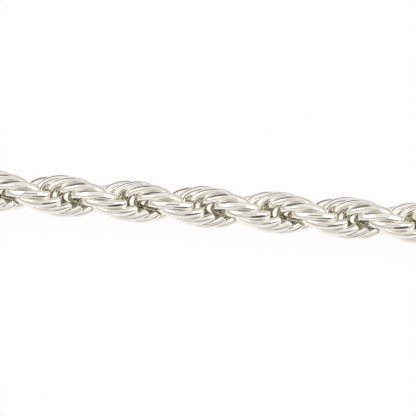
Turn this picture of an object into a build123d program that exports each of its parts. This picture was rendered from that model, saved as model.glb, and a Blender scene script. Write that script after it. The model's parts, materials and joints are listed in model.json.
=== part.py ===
from build123d import *
import math
import os

# Rope chain necklace, unclasped and laid flat in an open loop. All lengths in millimetres.
# +Z is up, +X runs along the straight front of the loop, +Y points to the clasp at the back.
# The rope is a double helix of oval round-wire C links: every link is centred on the rope's axis,
# with its plane along that axis, and is turned and moved on a little from the link before it.

# ---- rope chain ----
ROPE_D = 5.0
WIRE_D = 0.84
LINKS_PER_TURN = 13
TURN_LENGTH = 16.8
LINK_STEP = TURN_LENGTH / LINKS_PER_TURN
LINK_TWIST = 360 / LINKS_PER_TURN

# ---- one link: an oval of four arcs, two round its ends and two along its sides ----
LINK_LENGTH = 6.45
END_HALF_SWEEP = 60
GAP_HALF_ANGLE = 37
HALF_LONG = (LINK_LENGTH - WIRE_D) / 2
HALF_WIDE = (ROPE_D - WIRE_D) / 2
SWEEP_TAN = math.tan(math.radians(END_HALF_SWEEP))
SWEEP_SECANT = 1 / math.cos(math.radians(END_HALF_SWEEP))
END_CENTRE_X = (HALF_LONG - HALF_WIDE) / (1 + SWEEP_TAN - SWEEP_SECANT)
END_R = HALF_LONG - END_CENTRE_X
SIDE_CENTRE_Y = END_CENTRE_X * SWEEP_TAN
SIDE_R = HALF_WIDE + SIDE_CENTRE_Y

# ---- loop that the necklace is laid in ----
SEGMENTS = 41
LINKS_PER_SEGMENT = 8
FRONT_SEGMENTS = 7
CHAIN_LENGTH = SEGMENTS * LINKS_PER_SEGMENT * LINK_STEP
FRONT_HALF = FRONT_SEGMENTS * LINKS_PER_SEGMENT * LINK_STEP / 2
BEND_R = (CHAIN_LENGTH / 2 - FRONT_HALF) / math.pi

# ---- end caps, with an eye each ----
CAP_R = 3.1
CAP_BORE_R = ROPE_D / 2 + 0.1
CAP_OVERLAP = 4.0
CAP_FLOOR_X = 2.75
CAP_END_X = 3.4
CAP_EDGE = 0.6
EYE_R = 1.5
EYE_WIRE_D = 0.9
EYE_X = 4.8

# ---- clasp ring, which stands upright in the eye of the clasp's cap ----
RING_R = 2.3
RING_WIRE_D = 1.15

# ---- lobster clasp, measured from the centre of its own eye ----
CLASP_TILT = 2.5
CLASP_EYE_R = 1.5
CLASP_EYE_WIRE_D = 1.0
CLASP_THICK = 4.0
BASE_X = 4.15
BASE_R = 2.5
HEAD_X = 15.0
HEAD_R = 4.65
MOUTH_R = 2.9
MOUTH_Y = -0.15
THROAT_X = 9.8
THROAT_Y = -0.6
THROAT_R = 1.5
PIVOT_X = 5.65
PIVOT_Y = -0.85
LEVER_THICK = 2.2
LEVER_HUB_R = 1.5
LEVER_REACH = 10.8
LEVER_TOP_Y = -0.15
TAB_X = 8.65
TAB_Y = -3.9
TAB_R = 1.25
PLAY = 0.16
SLOT_START_X = 3.7
SLOT_END_X = 8.5
SLOT_TOP_Y = 1.25
RIVET_R = 0.63
RIVET_HEAD_R = 1.0
RIVET_HEAD_T = 0.25
RIVET_FIT = 0.05
SPRING_T = 0.2
SPRING_WIDTH = 1.8
SPRING_BOW = 0.1
EDGE_SOFTEN = 0.5

# ---- catch ring, tag ring and tag at the other end ----
CATCH_R = 3.35
CATCH_WIRE_D = 1.15
CATCH_TILT = 11.5
TAG_RING_R = 1.9
TAG_RING_WIRE_D = 0.85
TAG_RING_OFFSET_X = 0.35
TAG_RING_OFFSET_Z = 0.6
TAG_TILT = 10.8
TAG_THICK = 0.8
TAG_HOLE_R = 0.75
TAG_NECK_R = 1.4
TAG_BODY_R = 2.65
TAG_BODY_NEAR = 4.3
TAG_BODY_FAR = 7.7
TAG_EDGE = 0.17

AXIS_HEIGHT = CAP_R
BACK_Y = 2 * BEND_R
FRONT_Y = -ROPE_D / 2
LEVER_OUT_Y = TAB_Y - TAB_R
SHIFT_Y = -(FRONT_Y + BACK_Y - LEVER_OUT_Y) / 2


def rope_plane(distance):
    """Plane on the rope's axis, at a signed distance from the middle of the front run."""
    side = math.copysign(1, distance)
    bend = max(abs(distance) - FRONT_HALF, 0) / BEND_R
    straight = min(abs(distance), FRONT_HALF)
    x = side * (straight + BEND_R * math.sin(bend))
    y = BEND_R * (1 - math.cos(bend)) + SHIFT_Y
    heading = side * bend
    along = Vector(math.cos(heading), math.sin(heading), 0)
    return Plane(origin=(x, y, AXIS_HEIGHT), x_dir=along, z_dir=(0, 0, 1))


def c_link():
    """Oval C link in its own XY plane, long along X, with its gap towards +X."""
    side_sweep = 180 - 2 * END_HALF_SWEEP
    tip_sweep = END_HALF_SWEEP - GAP_HALF_ANGLE
    centre_line = Wire([
        CenterArc((END_CENTRE_X, 0), END_R, GAP_HALF_ANGLE, tip_sweep),
        CenterArc((0, -SIDE_CENTRE_Y), SIDE_R, END_HALF_SWEEP, side_sweep),
        CenterArc((-END_CENTRE_X, 0), END_R, 180 - END_HALF_SWEEP, 2 * END_HALF_SWEEP),
        CenterArc((0, SIDE_CENTRE_Y), SIDE_R, 180 + END_HALF_SWEEP, side_sweep),
        CenterArc((END_CENTRE_X, 0), END_R, 360 - END_HALF_SWEEP, tip_sweep),
    ])
    section = Plane(centre_line @ 0, z_dir=centre_line % 0) * Circle(WIRE_D / 2)
    return sweep(section, path=centre_line)


def rope_segment(number):
    """A short run of the rope: a group of separate interlaced links."""
    middle_link = (SEGMENTS * LINKS_PER_SEGMENT - 1) / 2
    link = c_link()
    links = []
    for step in range(LINKS_PER_SEGMENT):
        place = number * LINKS_PER_SEGMENT + step - middle_link
        turned = Rot(90 + LINK_TWIST * place, 0, 0) * link
        links.append(rope_plane(place * LINK_STEP) * turned)
    return Compound(children=links)


def bar(radius, height):
    return Cylinder(radius, height)


def end_cap(eye_tilt):
    """Cup over the rope's end, with a soldered wire eye on its closed end."""
    length = CAP_END_X + CAP_OVERLAP
    cup = Pos((CAP_END_X - CAP_OVERLAP) / 2, 0, 0) * (Rot(0, 90, 0) * bar(CAP_R, length))
    cup = fillet(cup.edges().group_by(Axis.X)[-1], CAP_EDGE)
    bore_length = CAP_FLOOR_X + CAP_OVERLAP
    bore = Pos((CAP_FLOOR_X - CAP_OVERLAP) / 2, 0, 0) * (Rot(0, 90, 0) * bar(CAP_BORE_R, bore_length))
    eye = Pos(EYE_X, 0, 0) * (Rot(eye_tilt, 0, 0) * Torus(EYE_R, EYE_WIRE_D / 2))
    return (cup - bore) + eye


def upright_ring(radius, wire_d):
    return Rot(90, 0, 0) * Torus(radius, wire_d / 2)


def hull_of(*circles):
    """Outline around circles given as (x, y, radius)."""
    edges = []
    for x, y, radius in circles:
        edges += (Pos(x, y) * Circle(radius)).edges()
    return make_hull(edges)


def slab(sketch, thickness):
    return extrude(sketch, amount=thickness / 2, both=True)


def block(x_low, x_high, y_low, y_high, thickness):
    centre = Pos((x_low + x_high) / 2, (y_low + y_high) / 2, 0)
    return centre * Box(x_high - x_low, y_high - y_low, thickness)


def clasp_outline():
    return hull_of((BASE_X, 0, BASE_R), (HEAD_X, 0, HEAD_R))


def clasp_opening():
    return hull_of((HEAD_X, MOUTH_Y, MOUTH_R), (THROAT_X, THROAT_Y, THROAT_R))


def clasp_body():
    """Claw with its eye: two cheeks hold the lever, and the mouth is cut for the lever's arm."""
    claw = slab(clasp_outline(), CLASP_THICK)
    rims = claw.edges().group_by(Axis.Z)
    claw = chamfer(rims[0] + rims[-1], EDGE_SOFTEN)
    claw -= slab(clasp_opening(), CLASP_THICK)
    reach = Pos(PIVOT_X, PIVOT_Y, 0) * bar(LEVER_REACH + PLAY, CLASP_THICK)
    mouth = block(SLOT_END_X - PLAY, HEAD_X + HEAD_R, -HEAD_R, LEVER_TOP_Y, CLASP_THICK)
    claw -= mouth & reach
    claw -= block(SLOT_START_X, SLOT_END_X, -HEAD_R, SLOT_TOP_Y, LEVER_THICK + 2 * PLAY)
    claw -= Pos(PIVOT_X, PIVOT_Y, 0) * bar(RIVET_R, CLASP_THICK)
    eye = Torus(CLASP_EYE_R, CLASP_EYE_WIRE_D / 2)
    return claw + eye


def clasp_lever():
    """Sprung lever that closes the mouth, with a thumb tab."""
    arm = slab(clasp_outline() - clasp_opening(), LEVER_THICK)
    arm &= block(PIVOT_X, HEAD_X + HEAD_R, -HEAD_R, LEVER_TOP_Y, LEVER_THICK)
    arm &= Pos(PIVOT_X, PIVOT_Y, 0) * bar(LEVER_REACH, LEVER_THICK)
    hub = Pos(PIVOT_X, PIVOT_Y, 0) * bar(LEVER_HUB_R, LEVER_THICK)
    tab = Pos(TAB_X, TAB_Y, 0) * bar(TAB_R, LEVER_THICK)
    hole = Pos(PIVOT_X, PIVOT_Y, 0) * bar(RIVET_R + RIVET_FIT, LEVER_THICK)
    return (arm + hub + tab) - hole


def clasp_rivet():
    shank = bar(RIVET_R, CLASP_THICK)
    head_z = (CLASP_THICK + RIVET_HEAD_T) / 2
    heads = Pos(0, 0, head_z) * bar(RIVET_HEAD_R, RIVET_HEAD_T)
    heads += Pos(0, 0, -head_z) * bar(RIVET_HEAD_R, RIVET_HEAD_T)
    return Pos(PIVOT_X, PIVOT_Y, 0) * (shank + heads)


def clasp_spring():
    """Bowed leaf that lies along the roof of the lever's slot."""
    start_x = SLOT_START_X + PLAY
    end_x = SLOT_END_X - PLAY
    top = SLOT_TOP_Y - PLAY / 2
    middle_x = (start_x + end_x) / 2
    upper = ThreePointArc((start_x, top), (middle_x, top - SPRING_BOW), (end_x, top))
    low = top - SPRING_T
    lower = ThreePointArc((start_x, low), (middle_x, low - SPRING_BOW), (end_x, low))
    sides = [Line((start_x, top), (start_x, low)), Line((end_x, top), (end_x, low))]
    return slab(make_face([upper, lower] + sides), SPRING_WIDTH)


def tag():
    """Plain drop-shaped tag with a round hole at its narrow end."""
    outline = hull_of((0, 0, TAG_NECK_R), (TAG_BODY_NEAR, 0, TAG_BODY_R), (TAG_BODY_FAR, 0, TAG_BODY_R))
    plate = slab(outline, TAG_THICK)
    rims = plate.edges().group_by(Axis.Z)
    plate = chamfer(rims[0] + rims[-1], TAG_EDGE)
    return plate - bar(TAG_HOLE_R, TAG_THICK)


def fitting_places():
    """Locations of the fittings, each from the rope's end that it hangs on."""
    clasp_end = rope_plane(CHAIN_LENGTH / 2).location
    catch_end = rope_plane(-CHAIN_LENGTH / 2).location * Rot(0, 0, 180)
    catch_eye = catch_end * Pos(EYE_X, 0, 0)
    catch_far_x = EYE_X + 2 * CATCH_R * math.cos(math.radians(CATCH_TILT))
    catch_far_z = -2 * CATCH_R * math.sin(math.radians(CATCH_TILT))
    tag_ring_x = catch_far_x + TAG_RING_OFFSET_X
    tag_ring_z = catch_far_z + TAG_RING_OFFSET_Z
    return {
        "clasp_end": clasp_end,
        "catch_end": catch_end,
        "clasp_eye": clasp_end * Pos(EYE_X, 0, 0),
        "clasp_ring": clasp_end * Pos(EYE_X + RING_R, 0, 0),
        "clasp": clasp_end * Pos(EYE_X + 2 * RING_R, 0, 0) * Rot(0, CLASP_TILT, 0),
        "catch_eye": catch_eye,
        "catch_ring": catch_eye * Rot(0, CATCH_TILT, 0) * Pos(CATCH_R, 0, 0),
        "catch_far_wire": catch_end * Pos(catch_far_x, 0, catch_far_z),
        "tag_ring": catch_end * Pos(tag_ring_x, 0, tag_ring_z),
        "tag": catch_end * Pos(tag_ring_x + TAG_RING_R, 0, tag_ring_z) * Rot(0, TAG_TILT, 0),
    }


def build_parts():
    parts = {}
    for number in range(SEGMENTS):
        parts[f"rope_segment_{number + 1:02d}"] = rope_segment(number)
    places = fitting_places()
    parts["clasp_end_cap"] = places["clasp_end"] * end_cap(0)
    parts["clasp_ring"] = places["clasp_ring"] * upright_ring(RING_R, RING_WIRE_D)
    parts["clasp_body"] = places["clasp"] * clasp_body()
    parts["clasp_lever"] = places["clasp"] * clasp_lever()
    parts["clasp_rivet"] = places["clasp"] * clasp_rivet()
    parts["clasp_spring"] = places["clasp"] * clasp_spring()
    parts["catch_end_cap"] = places["catch_end"] * end_cap(90)
    parts["catch_ring"] = places["catch_ring"] * Torus(CATCH_R, CATCH_WIRE_D / 2)
    parts["tag_ring"] = places["tag_ring"] * upright_ring(TAG_RING_R, TAG_RING_WIRE_D)
    parts["tag"] = places["tag"] * tag()
    return parts


def main():
    os.makedirs("parts", exist_ok=True)
    for name, shape in build_parts().items():
        export_step(shape, f"parts/{name}.step")


main()
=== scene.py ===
import json
import math

import bpy
import numpy as np
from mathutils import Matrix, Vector

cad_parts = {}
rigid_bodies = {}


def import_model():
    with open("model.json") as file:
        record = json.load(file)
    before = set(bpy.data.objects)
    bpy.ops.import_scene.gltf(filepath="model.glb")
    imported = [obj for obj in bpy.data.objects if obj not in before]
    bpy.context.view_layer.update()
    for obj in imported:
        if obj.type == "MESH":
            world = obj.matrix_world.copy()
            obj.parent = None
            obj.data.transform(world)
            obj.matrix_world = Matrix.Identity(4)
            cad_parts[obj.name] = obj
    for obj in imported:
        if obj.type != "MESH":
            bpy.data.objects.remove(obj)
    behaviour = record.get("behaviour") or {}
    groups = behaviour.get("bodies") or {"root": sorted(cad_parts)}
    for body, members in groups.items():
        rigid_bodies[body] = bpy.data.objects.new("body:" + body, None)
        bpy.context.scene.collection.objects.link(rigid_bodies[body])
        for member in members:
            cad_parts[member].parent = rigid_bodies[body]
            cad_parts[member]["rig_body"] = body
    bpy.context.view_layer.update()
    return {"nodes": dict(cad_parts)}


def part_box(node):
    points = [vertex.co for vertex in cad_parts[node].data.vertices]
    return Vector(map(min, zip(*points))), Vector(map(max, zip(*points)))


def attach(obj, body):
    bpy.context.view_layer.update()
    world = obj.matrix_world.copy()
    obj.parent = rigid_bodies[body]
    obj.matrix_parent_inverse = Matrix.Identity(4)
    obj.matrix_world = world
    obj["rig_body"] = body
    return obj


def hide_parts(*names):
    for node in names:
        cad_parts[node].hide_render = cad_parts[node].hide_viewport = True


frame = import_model()

# ---- link meshes: steps along the link and round the wire, finer on the segments near the camera ----
FAR_STEPS = (64, 18)
NEAR_STEPS = (120, 28)
NEAR_EACH_WAY = 3
TIP_STEPS = 6
MERGE_PER_METRE = 1e7
SIDE_SHARE = 0.9
END_HALF_SWEEP = math.radians(60)

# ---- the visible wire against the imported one: wider, deeper inwards and squarer than round ----
WIRE_WIDER = 1.16
WIRE_DEEPER = 1.25
WIRE_SQUARER = 0.78
END_ROUNDING = 0.55

# ---- camera: a close view of the straight front run ----
VIEW_WIDTH = 0.0487
LENS = 250.0
SENSOR = 36.0
VIEW_AZIMUTH = 4.9
VIEW_ELEVATION = 64.0
VIEW_ALONG = -0.0026
VIEW_UP = -0.0001
CLIP_NEAR = 0.01
CLIP_FAR = 50

# ---- surroundings ----
FLOOR_SIZE = 16
LAMP_SIZE = 0.7
LAMP_POWER = 1
STAGE_DISTANCE = 0.9
CAMERA_CARD_DISTANCE = 0.5
CAMERA_CARD_ABOVE = 3
TENT_STRENGTH = 0.94
FLOOR_GLOW = 0.94
NOISE_LOW = 0.3
NOISE_HIGH = 0.7
BUMP_STRENGTH = 0.3

ROPE = "rope_segment_"
segments = sorted(name for name in frame["nodes"] if name.startswith(ROPE))
middle = segments[len(segments) // 2]


# ---- reading the links of a packed segment ----
def islands(mesh):
    """Vertex positions of each connected stretch of a mesh, with doubled vertices merged."""
    count = len(mesh.vertices)
    points = np.zeros(count * 3, np.float32)
    mesh.vertices.foreach_get("co", points)
    points = points.reshape(-1, 3).astype(float)
    keys = np.round(points * MERGE_PER_METRE).astype(np.int64)
    unique, merged = np.unique(keys, axis=0, return_inverse=True)
    merged = merged.reshape(-1)
    edges = np.zeros(len(mesh.edges) * 2, np.int32)
    mesh.edges.foreach_get("vertices", edges)
    edges = merged[edges.reshape(-1, 2)]
    label = np.arange(len(unique))
    while True:
        lowest = np.minimum(label[edges[:, 0]], label[edges[:, 1]])
        before = label.copy()
        np.minimum.at(label, edges[:, 0], lowest)
        np.minimum.at(label, edges[:, 1], lowest)
        label = label[label]
        if np.array_equal(before, label):
            break
    places = unique / MERGE_PER_METRE
    return [places[label == k] for k in np.unique(label)]


def read_link(points):
    """Centre, directions and sizes of one oval C link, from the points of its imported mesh."""
    mean = points.mean(0)
    axes = np.linalg.svd(points - mean, full_matrices=False)[2]
    x, y, z = ((points - mean) @ axes.T).T
    wire = (z.max() - z.min()) / 2
    outer_wide = (y.max() - y.min()) / 2
    middle_y = (y.max() + y.min()) / 2
    sides = x[np.abs(y - middle_y) > SIDE_SHARE * outer_wide]
    middle_x = (sides.max() + sides.min()) / 2
    gap_side = -1 if x.max() - middle_x > middle_x - x.min() else 1
    to_gap = axes[0] * gap_side
    normal = axes[2]
    across = np.cross(normal, to_gap)
    spot = mean + axes[0] * middle_x + axes[1] * middle_y + axes[2] * (z.max() + z.min()) / 2
    half_long = -((points - spot) @ to_gap).min() - wire
    half_wide = outer_wide - wire
    beyond_end = (points - spot) @ to_gap - end_centre(half_long, half_wide)
    gap = np.abs(np.arctan2((points - spot) @ across, beyond_end)).min()
    return {"spot": spot, "axes": (to_gap, across, normal), "long": half_long, "wide": half_wide,
            "wire": wire, "gap": gap}


# ---- building smooth links ----
def end_centre(half_long, half_wide):
    """How far the centres of a link's end arcs are from the link's centre."""
    return (half_long - half_wide) / (1 + math.tan(END_HALF_SWEEP) - 1 / math.cos(END_HALF_SWEEP))


def link_arcs(link):
    """Centre, radius, first angle and sweep of each arc of a link, round from gap to gap."""
    end_x = end_centre(link["long"], link["wide"])
    end_r = link["long"] - end_x
    side_y = end_x * math.tan(END_HALF_SWEEP)
    side_r = link["wide"] + side_y
    tip = END_HALF_SWEEP - link["gap"]
    side = math.pi - 2 * END_HALF_SWEEP
    return np.array([
        (end_x, 0, end_r, link["gap"], tip),
        (0, -side_y, side_r, END_HALF_SWEEP, side),
        (-end_x, 0, end_r, math.pi - END_HALF_SWEEP, 2 * END_HALF_SWEEP),
        (0, side_y, side_r, math.pi + END_HALF_SWEEP, side),
        (end_x, 0, end_r, 2 * math.pi - END_HALF_SWEEP, tip)])


def link_rings(link, link_steps):
    """Centre, outward direction and wire radius of each ring of points, with rounded ends."""
    arcs = link_arcs(link)
    ends = np.cumsum(arcs[:, 2] * arcs[:, 4])
    rounding = link["wire"] * END_ROUNDING
    bends = np.linspace(0, math.pi / 2, TIP_STEPS)
    tips = rounding * (1 - np.cos(bends))
    tip_sizes = link["wire"] - rounding * (1 - np.sin(bends))
    body = np.linspace(rounding, ends[-1] - rounding, link_steps)[1:-1]
    distance = np.concatenate([tips, body, ends[-1] - tips[::-1]])
    size = np.concatenate([tip_sizes, np.full(len(body), link["wire"]), tip_sizes[::-1]])
    which = np.minimum(np.searchsorted(ends, distance), len(arcs) - 1)
    centre_x, centre_y, radius, first, sweep = arcs[which].T
    angle = first + sweep - (ends[which] - distance) / radius
    outward = np.column_stack([np.cos(angle), np.sin(angle)])
    centre = np.column_stack([centre_x, centre_y]) + outward * radius[:, None]
    return centre, outward, size


def link_points(link, link_steps, wire_steps):
    """Points of a link's surface in the frame, ring after ring, with the visible wire's section."""
    centre, outward, size = link_rings(link, link_steps)
    turn = np.linspace(0, 2 * math.pi, wire_steps, endpoint=False)
    out = np.sign(np.cos(turn)) * np.abs(np.cos(turn)) ** WIRE_SQUARER
    side = np.sign(np.sin(turn)) * np.abs(np.sin(turn)) ** WIRE_SQUARER
    reach = size[:, None] * np.where(out < 0, out * WIRE_DEEPER, out)
    flat = centre[:, None, :] + outward[:, None, :] * reach[..., None]
    lift = size[:, None] * side * WIRE_WIDER
    to_gap, across, normal = link["axes"]
    in_plane = flat[..., :1] * to_gap + flat[..., 1:] * across
    points = link["spot"] + in_plane + lift[..., None] * normal
    return points.reshape(-1, 3), len(size)


def link_faces(start, rings, wire_steps):
    """Faces of one link whose points begin at start, closed at both ends."""
    faces = []
    for ring in range(rings - 1):
        for step in range(wire_steps):
            here = start + ring * wire_steps + step
            beside = start + ring * wire_steps + (step + 1) % wire_steps
            faces.append((here, here + wire_steps, beside + wire_steps, beside))
    faces.append(tuple(start + step for step in range(wire_steps)))
    end = start + (rings - 1) * wire_steps
    faces.append(tuple(end + step for step in reversed(range(wire_steps))))
    return faces


def rope_piece(node, link_steps, wire_steps):
    """One piece that holds the smooth links of one packed segment, with depth 0 at the rope's middle."""
    links = [read_link(points) for points in islands(frame["nodes"][node].data)]
    centres = np.array([link["spot"] for link in links])
    line = np.linalg.svd(centres - centres.mean(0))[2][0]
    points, faces, depth = [], [], []
    total = 0
    for link in links:
        spots, rings = link_points(link, link_steps, wire_steps)
        faces += link_faces(total, rings, wire_steps)
        total += len(spots)
        away = spots - link["spot"]
        off = away - np.outer(away @ line, line)
        depth.append(np.linalg.norm(off, axis=1) / (link["wide"] + link["wire"]))
        points.append(spots)
    mesh = bpy.data.meshes.new(node + "_links")
    mesh.from_pydata(np.concatenate(points).tolist(), [], faces)
    mesh.update()
    # The depth sets where the silver's painted bounce light goes: brighter and warmer deep in the
    # grooves.
    layer = mesh.attributes.new("depth", "FLOAT", "POINT")
    layer.data.foreach_set("value", np.concatenate(depth).astype(np.float32))
    mesh.polygons.foreach_set("use_smooth", np.ones(len(mesh.polygons), bool))
    piece = bpy.data.objects.new(node + "_links", mesh)
    bpy.context.scene.collection.objects.link(piece)
    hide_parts(node)
    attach(piece, frame["nodes"][node]["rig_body"])
    return piece


# ---- materials ----
def new_material(name):
    """Material with one Principled shader."""
    material = bpy.data.materials.new(name)
    material.use_nodes = True
    tree = material.node_tree
    tree.nodes.clear()
    output = tree.nodes.new("ShaderNodeOutputMaterial")
    shader = tree.nodes.new("ShaderNodeBsdfPrincipled")
    tree.links.new(shader.outputs["BSDF"], output.inputs["Surface"])
    return material, tree, shader


def ramp(tree, source, stops):
    """Colour of a ramp through stops, each a position and a colour."""
    node = tree.nodes.new("ShaderNodeValToRGB")
    node.color_ramp.elements[0].position = stops[0][0]
    node.color_ramp.elements[0].color = (*stops[0][1], 1)
    node.color_ramp.elements[1].position = stops[-1][0]
    node.color_ramp.elements[1].color = (*stops[-1][1], 1)
    for position, colour in stops[1:-1]:
        node.color_ramp.elements.new(position).color = (*colour, 1)
    tree.links.new(source, node.inputs["Fac"])
    return node.outputs["Color"]


def noise(tree, scale, detail, stretch=(1, 1, 1)):
    """Noise in the piece's own coordinates."""
    place = tree.nodes.new("ShaderNodeTexCoord")
    mapping = tree.nodes.new("ShaderNodeMapping")
    mapping.inputs["Scale"].default_value = stretch
    texture = tree.nodes.new("ShaderNodeTexNoise")
    texture.inputs["Scale"].default_value = scale
    texture.inputs["Detail"].default_value = detail
    tree.links.new(place.outputs["Object"], mapping.inputs["Vector"])
    tree.links.new(mapping.outputs["Vector"], texture.inputs["Vector"])
    return texture.outputs["Fac"]


def remap(tree, source, to_low, to_high):
    """Noise brought to a range of values."""
    node = tree.nodes.new("ShaderNodeMapRange")
    node.inputs["From Min"].default_value = NOISE_LOW
    node.inputs["From Max"].default_value = NOISE_HIGH
    node.inputs["To Min"].default_value = to_low
    node.inputs["To Max"].default_value = to_high
    tree.links.new(source, node.inputs["Value"])
    return node.outputs["Result"]


def bump(tree, shader, height, distance):
    """Fine unevenness of the surface."""
    node = tree.nodes.new("ShaderNodeBump")
    node.inputs["Distance"].default_value = distance
    node.inputs["Strength"].default_value = BUMP_STRENGTH
    tree.links.new(height, node.inputs["Height"])
    tree.links.new(node.outputs["Normal"], shader.inputs["Normal"])


def rope_silver():
    """Polished silver with painted bounce light: its colour is painted slightly warmer and brighter deep
    in the grooves, where little light gets in, and duller at the outer faces.
    """
    material, tree, shader = new_material("rope_silver")
    shader.inputs["Metallic"].default_value = 1.0
    depth = tree.nodes.new("ShaderNodeAttribute")
    depth.attribute_name = "depth"
    # Painted bounce light: base colour painted brighter and warmer where depth is low, deep in the
    # grooves, and duller towards the outer faces.
    stops = [(0.25, (0.96, 0.92, 0.79)), (0.60, (0.93, 0.91, 0.85)), (0.95, (0.87, 0.84, 0.79))]
    tree.links.new(ramp(tree, depth.outputs["Fac"], stops), shader.inputs["Base Color"])
    wear = remap(tree, noise(tree, 500, 4), 0.05, 0.11)
    tree.links.new(wear, shader.inputs["Roughness"])
    bump(tree, shader, noise(tree, 260, 1), 0.00003)
    return material


def fitting_silver():
    """Polished silver of the fittings, with fine wear marks."""
    material, tree, shader = new_material("fitting_silver")
    shader.inputs["Metallic"].default_value = 1.0
    stops = [(NOISE_LOW, (0.76, 0.74, 0.70)), (NOISE_HIGH, (0.84, 0.82, 0.79))]
    tint = ramp(tree, noise(tree, 260, 3), stops)
    tree.links.new(tint, shader.inputs["Base Color"])
    wear = remap(tree, noise(tree, 1500, 5, (1, 0.2, 1)), 0.08, 0.2)
    tree.links.new(wear, shader.inputs["Roughness"])
    bump(tree, shader, noise(tree, 1200, 4, (0.3, 1, 1)), 0.000008)
    return material


def fitting_steel():
    """Bright steel of the rivet and the spring."""
    material, tree, shader = new_material("fitting_steel")
    shader.inputs["Metallic"].default_value = 1.0
    stops = [(NOISE_LOW, (0.60, 0.60, 0.60)), (NOISE_HIGH, (0.70, 0.70, 0.71))]
    tint = ramp(tree, noise(tree, 500, 2), stops)
    tree.links.new(tint, shader.inputs["Base Color"])
    wear = remap(tree, noise(tree, 2500, 4), 0.15, 0.3)
    tree.links.new(wear, shader.inputs["Roughness"])
    return material


def floor_white():
    """White sweep, lit from within as well, so that shadows on it are faint."""
    material, tree, shader = new_material("floor_white")
    shader.inputs["Base Color"].default_value = (0.05, 0.05, 0.05, 1)
    shader.inputs["Roughness"].default_value = 0.9
    shader.inputs["Specular IOR Level"].default_value = 0.0
    shader.inputs["Emission Color"].default_value = (1, 1, 1, 1)
    shader.inputs["Emission Strength"].default_value = FLOOR_GLOW
    return material


def card_material(name, colour):
    """Flat glow for a card that isn't seen itself."""
    material = bpy.data.materials.new(name)
    material.use_nodes = True
    tree = material.node_tree
    tree.nodes.clear()
    output = tree.nodes.new("ShaderNodeOutputMaterial")
    glow = tree.nodes.new("ShaderNodeEmission")
    glow.inputs["Color"].default_value = (*colour, 1)
    tree.links.new(glow.outputs["Emission"], output.inputs["Surface"])
    return material


# ---- the necklace ----
silver = rope_silver()
centre_number = segments.index(middle)
for number, name in enumerate(segments):
    steps = NEAR_STEPS if abs(number - centre_number) <= NEAR_EACH_WAY else FAR_STEPS
    rope_piece(name, *steps).data.materials.append(silver)

plain_silver = fitting_silver()
steel = fitting_steel()
for name, node in frame["nodes"].items():
    if name in segments:
        continue
    finish = steel if name in ("clasp_rivet", "clasp_spring") else plain_silver
    node.data.materials.clear()
    node.data.materials.append(finish)

# ---- floor, cards and lamps ----
low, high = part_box(middle)
target = (Vector(low) + Vector(high)) / 2 + Vector((VIEW_ALONG, 0, 0))


def plane(name, size_x, size_y, material):
    """Flat rectangle that belongs to the surroundings."""
    mesh = bpy.data.meshes.new(name)
    x, y = size_x / 2, size_y / 2
    mesh.from_pydata([(-x, -y, 0), (x, -y, 0), (x, y, 0), (-x, y, 0)], [], [(0, 1, 2, 3)])
    mesh.materials.append(material)
    thing = bpy.data.objects.new(name, mesh)
    bpy.context.scene.collection.objects.link(thing)
    return thing


def direction(azimuth, elevation):
    """Unit vector from the target towards a camera or card at these angles, in degrees."""
    a, e = math.radians(azimuth), math.radians(elevation)
    return Vector((math.sin(a) * math.cos(e), -math.cos(a) * math.cos(e), math.sin(e)))


def stand_off(thing, azimuth, elevation, distance):
    """Puts a thing at a distance from the target, with its +Z pointing away from it."""
    thing.location = target + direction(azimuth, elevation) * distance
    thing.rotation_mode = "QUATERNION"
    thing.rotation_quaternion = direction(azimuth, elevation).to_track_quat("Z", "Y")


def card(name, azimuth, elevation, distance, size_x, size_y, colour):
    """Glowing card that the silver reflects and that isn't seen itself."""
    thing = plane(name, size_x, size_y, card_material(name, colour))
    stand_off(thing, azimuth, elevation, distance)
    thing.visible_camera = False
    thing.visible_diffuse = False
    thing.visible_shadow = False


plane("floor", FLOOR_SIZE, FLOOR_SIZE, floor_white())
card("card_camera", VIEW_AZIMUTH, VIEW_ELEVATION + CAMERA_CARD_ABOVE, CAMERA_CARD_DISTANCE,
     0.5, 0.07, (0.01, 0.01, 0.01))
card("card_back_left", 215, 38, STAGE_DISTANCE, 0.9, 0.5, (0.22, 0.18, 0.18))
card("card_front_right", 35, 22, STAGE_DISTANCE, 0.8, 0.35, (0.08, 0.05, 0.05))


def lamp(name, azimuth, elevation):
    """Soft square lamp that lights the target."""
    data = bpy.data.lights.new(name, "AREA")
    data.size = LAMP_SIZE
    data.energy = LAMP_POWER
    thing = bpy.data.objects.new(name, data)
    bpy.context.scene.collection.objects.link(thing)
    stand_off(thing, azimuth, elevation, STAGE_DISTANCE)


lamp("soft_left", -70, 50)
lamp("soft_right", 80, 40)


def tent():
    """Light tent round the necklace, greyer towards the horizon."""
    world = bpy.data.worlds.new("tent")
    world.use_nodes = True
    tree = world.node_tree
    place = tree.nodes.new("ShaderNodeTexCoord")
    parts = tree.nodes.new("ShaderNodeSeparateXYZ")
    tree.links.new(place.outputs["Generated"], parts.inputs["Vector"])
    stops = [(0.0, (0.46, 0.43, 0.40)), (0.35, (0.78, 0.76, 0.72)), (0.8, (1.0, 1.0, 1.0))]
    tree.links.new(ramp(tree, parts.outputs["Z"], stops), tree.nodes["Background"].inputs["Color"])
    tree.nodes["Background"].inputs["Strength"].default_value = TENT_STRENGTH
    return world


bpy.context.scene.world = tent()
bpy.context.scene.view_settings.view_transform = "Standard"

# ---- camera ----
camera_data = bpy.data.cameras.new("camera")
camera_data.lens = LENS
camera_data.sensor_width = SENSOR
camera_data.clip_start = CLIP_NEAR
camera_data.clip_end = CLIP_FAR
camera = bpy.data.objects.new("camera", camera_data)
bpy.context.scene.collection.objects.link(camera)
bpy.context.scene.camera = camera
stand_off(camera, VIEW_AZIMUTH, VIEW_ELEVATION, VIEW_WIDTH * LENS / SENSOR)
camera.location += camera.rotation_quaternion @ Vector((0, VIEW_UP, 0))
